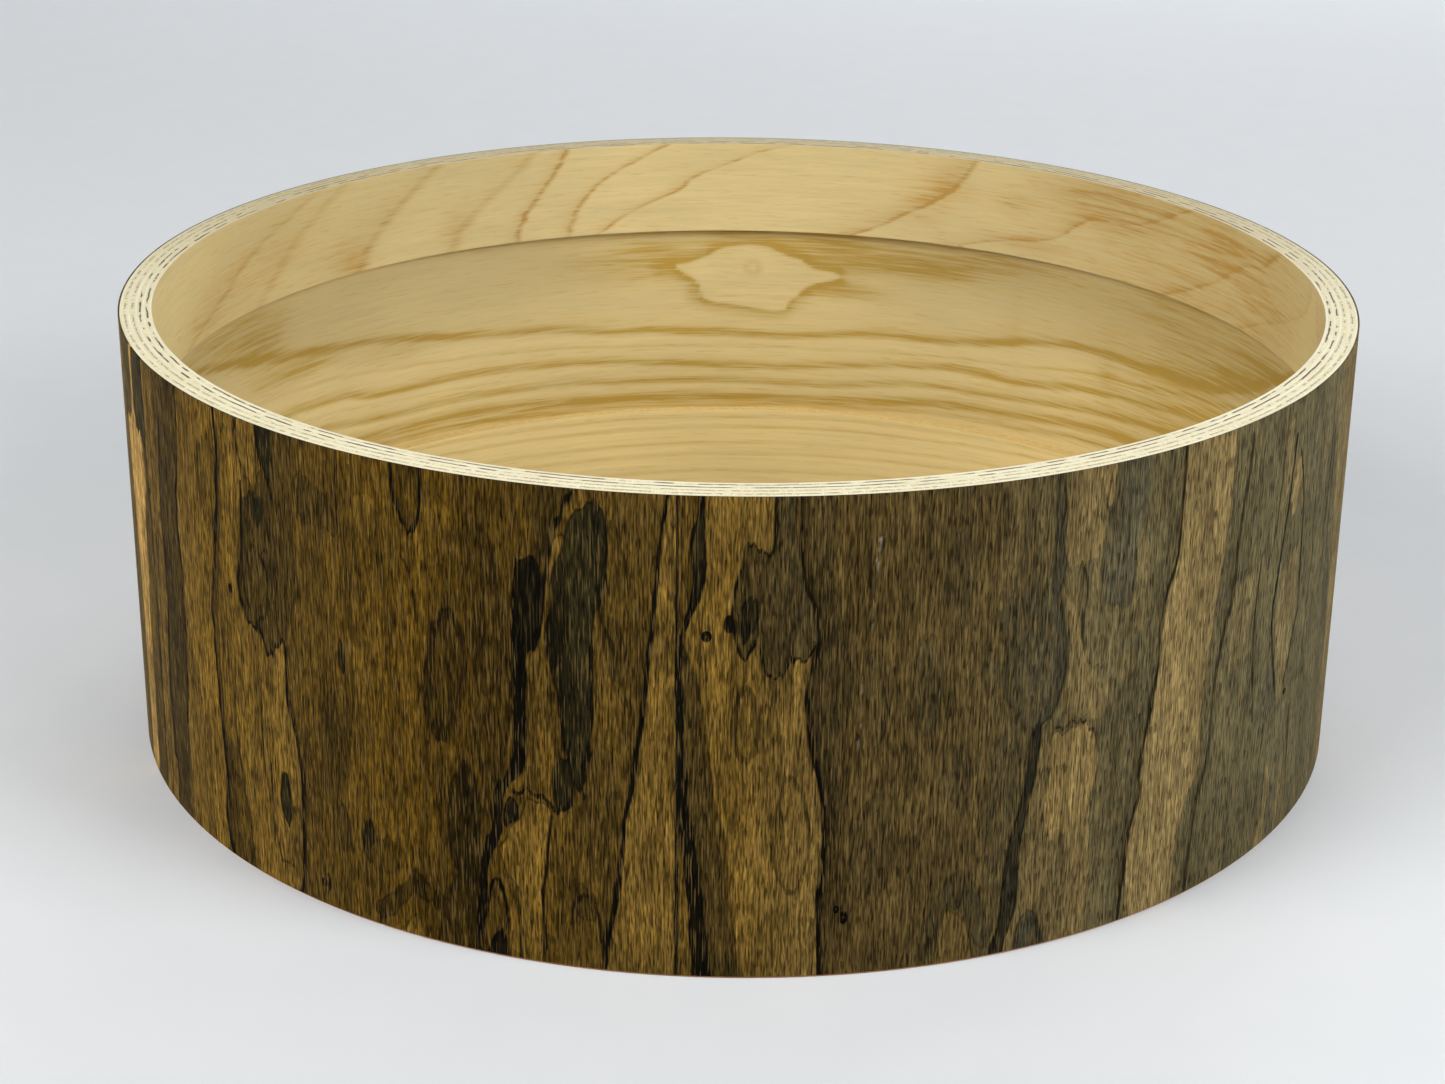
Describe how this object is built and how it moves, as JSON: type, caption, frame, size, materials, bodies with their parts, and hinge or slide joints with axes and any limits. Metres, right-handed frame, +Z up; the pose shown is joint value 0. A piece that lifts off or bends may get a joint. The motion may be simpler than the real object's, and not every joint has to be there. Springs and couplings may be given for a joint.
{
  "type": "drum shell",
  "caption": "Bare round plywood drum shell with a dark figured veneer outside, pale ash inside, square-cut edges and a reinforcement ring at each edge.",
  "frame": {"origin": "centre of the lower edge, on the surface it stands on", "axes": "+Z up along the shell's axis; -Y is the front, +X the right"},
  "size_m": [0.354, 0.354, 0.1285],
  "materials": {
    "face_veneer": "dark figured veneer, sanded, unfinished",
    "inner_ply": "pale ash, grain round the shell, sanded, unfinished",
    "ring_face": "pale ash, slanting grain, sanded, unfinished",
    "long_ply": "pale core ply, grain round the shell, sawn edge",
    "cross_ply": "pale core ply, grain up the shell, sawn end grain"
  },
  "bodies": {
    "root": {"face_veneer_front_left": "face_veneer", "face_veneer_front_right": "face_veneer", "face_veneer_back_right": "face_veneer", "face_veneer_back_left": "face_veneer", "shell_ply_1": "long_ply", "shell_ply_2": "cross_ply", "shell_ply_3": "long_ply", "shell_ply_4": "cross_ply", "shell_ply_5": "inner_ply", "top_ring_ply_1": "cross_ply", "top_ring_ply_2": "long_ply", "top_ring_ply_3": "cross_ply", "top_ring_ply_4": "ring_face", "bottom_ring_ply_1": "cross_ply", "bottom_ring_ply_2": "long_ply", "bottom_ring_ply_3": "cross_ply", "bottom_ring_ply_4": "ring_face"}
  },
  "joints": []
}
